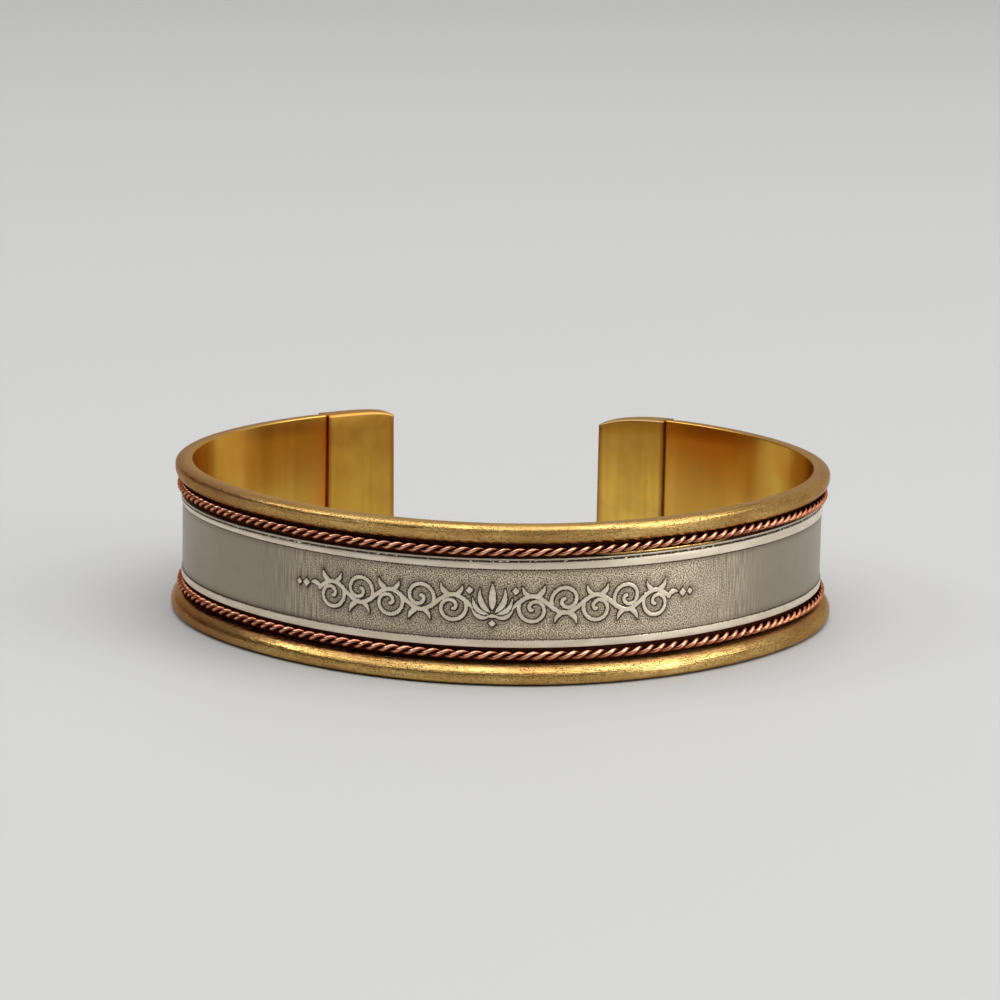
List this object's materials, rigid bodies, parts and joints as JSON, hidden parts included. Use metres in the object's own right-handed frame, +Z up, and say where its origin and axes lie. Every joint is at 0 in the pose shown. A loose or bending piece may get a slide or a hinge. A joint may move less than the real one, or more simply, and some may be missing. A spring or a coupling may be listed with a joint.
{
  "type": "open cuff bracelet (kada)",
  "caption": "Open cuff bracelet: a rigid brass band with half-round rims, an ornamented white-metal face plate, twisted copper wires and closed end caps.",
  "frame": {"origin": "middle of the footprint, on the surface that the cuff stands on", "axes": "+Z up through the wrist opening, +Y towards the gap between the ends, +X to the right seen from the front"},
  "size_m": [0.0676, 0.0644, 0.0154],
  "materials": {
    "band_brass": "polished brass, browned with age in the recesses and along the inner side",
    "cap_brass": "yellower polished brass sheet with fine scratches",
    "plate_nickel_silver": "nickel silver with bright borders and a dull, darkened, etched field",
    "wire_copper": "bright twisted copper wire, dark between the strands"
  },
  "bodies": {
    "root": {"brass_band": "band_brass", "face_plate": "plate_nickel_silver", "lower_twisted_wire": "wire_copper", "upper_twisted_wire": "wire_copper", "right_end_cap": "cap_brass", "left_end_cap": "cap_brass"}
  },
  "joints": []
}
